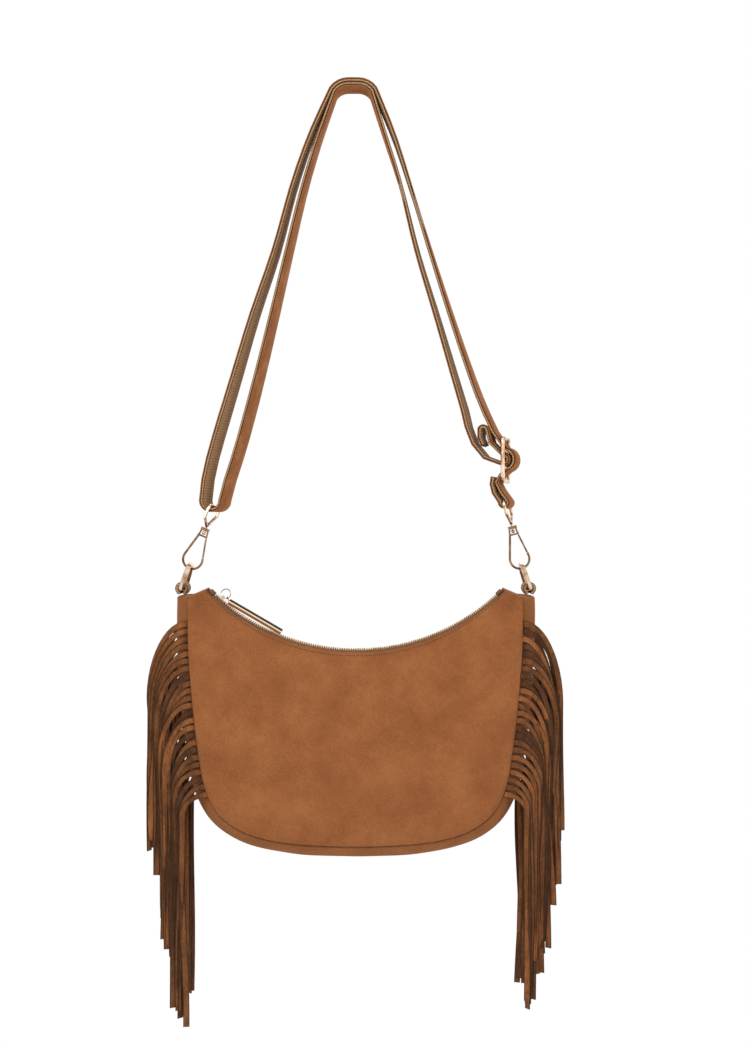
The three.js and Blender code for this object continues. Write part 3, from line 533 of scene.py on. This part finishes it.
for sideName, side in (("left", -1), ("right", 1)):
    for faceName, face in (("front", -1), ("back", 1)):
        chance = random.Random(fringe["seed"] + side * 2 + face)
        mesh = bmesh.new()
        mappedGrid(mesh, 1, 24, headerPlace(side, face))
        for index in range(fringe["strips"]):
            tone = chance.choice(fringe["tones"][face])
            mappedGrid(mesh, 4, 34, stripPlace(index, side, face, chance),
                       lambda x, y: 3 if abs(x) > 0.5 else tone)  # outer columns: the cut edge
        name = f"fringe_{sideName}_{faceName}"
        piece = finishPiece(name + "_suede", mesh, fringeLight, "bag", [name], 60,
                            (fringeSuede, fringeDark, fringeEdge))
        thicken(piece, fringe["thickness"] * wallShare, 0)
        piece.modifiers["wall"].material_offset_rim = 3
print("fringes made")


# zip: tapes, teeth, end pieces and the stitching along the scoop

zipper = {
    "halfAngle": 42.5, "slot": 1.4, "teethWidth": 1.6, "teethHeight": 2.4, "tape": 0.6,
    "pitch": 1.75, "stitchPitch": 3.1, "stitchDown": 3.2, "stitchWide": 0.62,
    "stitchLine": 255, "panelDown": 170, "seamGap": 0.3,
}


def scoopPoint(angle, radius):
    return radius * math.sin(angle), scoopZ - radius * math.cos(angle)


def tapePlace(face):
    def place(along, across):
        x, z = scoopPoint(math.radians(zipper["halfAngle"]) * along, bag["scoopRadius"])
        inner = zipper["slot"] / 2 + zipper["teethWidth"] + zipper["seamGap"]
        outer = halfZip - zipper["seamGap"]
        share = (across + 1) / 2
        return x, face * (inner + (outer - inner) * share), z + 0.25 * math.sin(share * math.pi)
    return place


def toothRow(face):
    mesh = bmesh.new()
    length = 2 * math.radians(zipper["halfAngle"]) * bag["scoopRadius"]
    count = int(length / zipper["pitch"])
    depth = face * (zipper["slot"] / 2 + zipper["teethWidth"] / 2)
    for i in range(count):
        angle = math.radians(zipper["halfAngle"]) * (2 * (i + 0.5) / count - 1)
        x, z = scoopPoint(angle, bag["scoopRadius"])
        size = Matrix.Diagonal((zipper["pitch"] * 0.62, zipper["teethWidth"], zipper["teethHeight"], 1))
        place = Matrix.Translation((x + bag["centreX"], depth, z)) @ Matrix.Rotation(-angle, 4, "Y")
        bmesh.ops.create_cube(mesh, size=1, matrix=Matrix.Scale(mm, 4) @ place @ size)
    bmesh.ops.bevel(mesh, geom=mesh.edges[:], offset=0.22 * mm, affect="EDGES", segments=1,
                    profile=0.5, material=-1)
    return mesh


def stitchRow(face):
    # stitches lie on the panel's outside, just below the scoop's edge
    mesh = bmesh.new()
    count = int(zipper["stitchLine"] / zipper["stitchPitch"])
    for i in range(count):
        u = (2 * (i + 0.5) / count - 1) * bag["shoulderShare"]
        v = zipper["stitchDown"] / zipper["panelDown"]
        row = 1 - 2 * (1 - v) ** (1 / panelLook["rowPack"])
        here, there = (panelPlace(face)(w, row) for w in (u - 0.004, u + 0.004))
        way = (Vector(there) - Vector(here)).normalized()
        turn = Vector((0, 0, 1)).rotation_difference(way).to_matrix().to_4x4()
        middle = (Vector(here) + Vector(there)) / 2 + Vector((bag["centreX"], face * 0.1, 0))
        bmesh.ops.create_cone(mesh, cap_ends=True, segments=6, radius1=zipper["stitchWide"] / 2,
                              radius2=zipper["stitchWide"] / 2, depth=zipper["stitchPitch"] * 0.68,
                              matrix=Matrix.Scale(mm, 4) @ Matrix.Translation(middle) @ turn)
    return mesh


for name, face in (("front", -1), ("back", 1)):
    mesh = bmesh.new()
    mappedGrid(mesh, 90, 4, tapePlace(face))
    faceAway(mesh, bagCentre)
    piece = finishPiece("zip_tape_" + name + "_woven", mesh, zipTape, "bag",
                        ["zip_tape_" + name])
    thicken(piece, zipper["tape"], 0)
    finishPiece("zip_teeth_" + name + "_row", toothRow(face), toothGold, "bag",
                ["zip_teeth_" + name], 30)
    finishPiece("scoop_stitches_" + name, stitchRow(face), thread, "bag", (), 60)

for side in ("left", "right"):
    mesh = softCopy("zip_end_" + side)
    bmesh.ops.dissolve_limit(mesh, angle_limit=math.radians(2), verts=mesh.verts[:], edges=mesh.edges[:])
    bmesh.ops.bevel(mesh, geom=mesh.edges[:], offset=0.5 * mm, affect="EDGES", segments=3,
                    profile=0.5, material=-1)
    finishPiece("zip_end_" + side + "_suede", mesh, endSuede, "bag", ["zip_end_" + side])

mesh = softCopy("lining")
bmesh.ops.subdivide_edges(mesh, edges=mesh.edges[:], cuts=2, use_grid_fill=True)
for vert in mesh.verts:
    vert.co.y += noise.noise(vert.co * 45) * 0.5 * mm
finishPiece("lining_cotton", mesh, liningCotton, "bag", ["lining"], 70)
print("zip and lining made")


# strap: ribbed webbing with a suede face, both from the CAD's ribbons, edges softened

strap = {"edgeBevel": 0.55, "faceBevel": 0.38, "tabBevel": 0.5}


def softRibbon(node, bevelMm):
    # each corner of the section is rounded and carries the dark edge paint
    mesh = softCopy(node)
    bmesh.ops.dissolve_limit(mesh, angle_limit=math.radians(0.05), verts=mesh.verts[:], edges=mesh.edges[:])
    mesh.edges.ensure_lookup_table()
    sharp = [e for e in mesh.edges if len(e.link_faces) == 2 and e.calc_face_angle() > math.radians(50)]
    made = bmesh.ops.bevel(mesh, geom=sharp, offset=bevelMm * mm, affect="EDGES", segments=2,
                           profile=0.5, material=-1, clamp_overlap=True)
    for corner in made["faces"]:
        corner.material_index = 1
    return mesh


finishPiece("strap_ribbed_webbing", softRibbon("strap_webbing", strap["edgeBevel"]), strapWebbing,
            "strap", ["strap_webbing"], 35, (edgePaint,))
finishPiece("strap_suede_face", softRibbon("strap_facing", strap["faceBevel"]), facingSuede,
            "strap", ["strap_facing"], 35, (edgePaint,))
for side in ("left", "right"):
    finishPiece("tab_" + side + "_webbing", softRibbon("tab_" + side, strap["tabBevel"]), strapWebbing,
                "bag", ["tab_" + side], 35, (edgePaint,))
print("strap and tabs made")


# metal fittings keep the CAD's shapes and get the plating
pullBar = {"tilt": 30.2, "centreX": -76.2, "centreZ": -410.4, "halfHeight": 2.3}
barGold = bandedBar("banded_gold_bar", pullBar["tilt"], pullBar["centreX"], pullBar["centreZ"],
                    pullBar["halfHeight"])
fittings = ["zip_slider", "zip_pull_ring", "zip_pull_bar", "d_ring_left", "d_ring_right", "slide_buckle",
            "swivel_eye_left", "swivel_eye_right", "hook_left", "hook_right", "gate_left", "gate_right"]
for name in fittings:
    piece = nodes[name]
    piece.data.materials.clear()
    # hooks and gates take the plating coloured darker, painted dark reflections
    plating = hookDarkReflectionGold if name.startswith(("hook", "gate")) else gold
    piece.data.materials.append(barGold if name == "zip_pull_bar" else plating)
    piece.data.polygons.foreach_set("use_smooth", [True] * len(piece.data.polygons))
    piece.data.set_sharp_from_angle(angle=math.radians(48))
print("fittings plated")


# in metres and watts
stage = {
    "floorZ": -0.95, "floorHalf": 0.5, "keyPower": 13, "fillPower": 5, "worldLight": 0.62,
    "lens": 48.6, "camera": (0.0168, -1.1, -0.3373), "middle": (0, 0, -0.42),
}

mesh = bmesh.new()
bmesh.ops.create_grid(mesh, x_segments=1, y_segments=1, size=stage["floorHalf"])
bmesh.ops.translate(mesh, verts=mesh.verts[:], vec=(0, 0, stage["floorZ"]))
floorData = bpy.data.meshes.new("floor")
mesh.to_mesh(floorData)
mesh.free()
floor = bpy.data.objects.new("floor", floorData)
bpy.context.scene.collection.objects.link(floor)
floorPaint, shader = newMaterial("pale_floor_paint")
shader.inputs["Base Color"].default_value = linear("#f2f1ef")
shader.inputs["Roughness"].default_value = 0.9
floorData.materials.append(floorPaint)

world = bpy.data.worlds.new("studio")
bpy.context.scene.world = world
world.use_nodes = True
light = world.node_tree.nodes["Background"]
light.inputs["Strength"].default_value = stage["worldLight"]
shown = addNode(world, "ShaderNodeBackground", Color=(1, 1, 1, 1), Strength=1)
path = addNode(world, "ShaderNodeLightPath")
seen = addNode(world, "ShaderNodeMath", operation="MAXIMUM")
world.node_tree.links.new(path.outputs["Is Camera Ray"], seen.inputs[0])
world.node_tree.links.new(path.outputs["Is Glossy Ray"], seen.inputs[1])
either = addNode(world, "ShaderNodeMath", operation="MAXIMUM")
world.node_tree.links.new(seen.outputs["Value"], either.inputs[0])
world.node_tree.links.new(path.outputs["Is Transmission Ray"], either.inputs[1])
mix = addNode(world, "ShaderNodeMixShader")
world.node_tree.links.new(either.outputs["Value"], mix.inputs["Fac"])
world.node_tree.links.new(light.outputs["Background"], mix.inputs[1])
world.node_tree.links.new(shown.outputs["Background"], mix.inputs[2])
world.node_tree.links.new(mix.outputs["Shader"], world.node_tree.nodes["World Output"].inputs["Surface"])
light.inputs["Color"].default_value = (1, 1, 1, 1)


def softLight(name, place, target, size, power):
    lamp = bpy.data.lights.new(name, "AREA")
    lamp.size = size
    lamp.energy = power
    holder = bpy.data.objects.new(name, lamp)
    bpy.context.scene.collection.objects.link(holder)
    holder.location = place
    holder.rotation_euler = (Vector(target) - Vector(place)).to_track_quat("-Z", "Y").to_euler()


softLight("key", (-0.75, -1.25, 0.25), stage["middle"], 0.8, stage["keyPower"])
softLight("fill", (0.95, -0.9, -0.3), stage["middle"], 0.9, stage["fillPower"])
softLight("back", (0.3, 1.2, 0.3), stage["middle"], 0.9, stage["fillPower"])

cameraData = bpy.data.cameras.new("camera")
cameraData.lens = stage["lens"]
camera = bpy.data.objects.new("camera", cameraData)
camera.location = stage["camera"]
camera.rotation_euler = (math.radians(90), 0, 0)
bpy.context.scene.collection.objects.link(camera)
bpy.context.scene.camera = camera
bpy.context.scene.view_settings.view_transform = "Standard"
print("stage set")

bpy.context.view_layer.update()
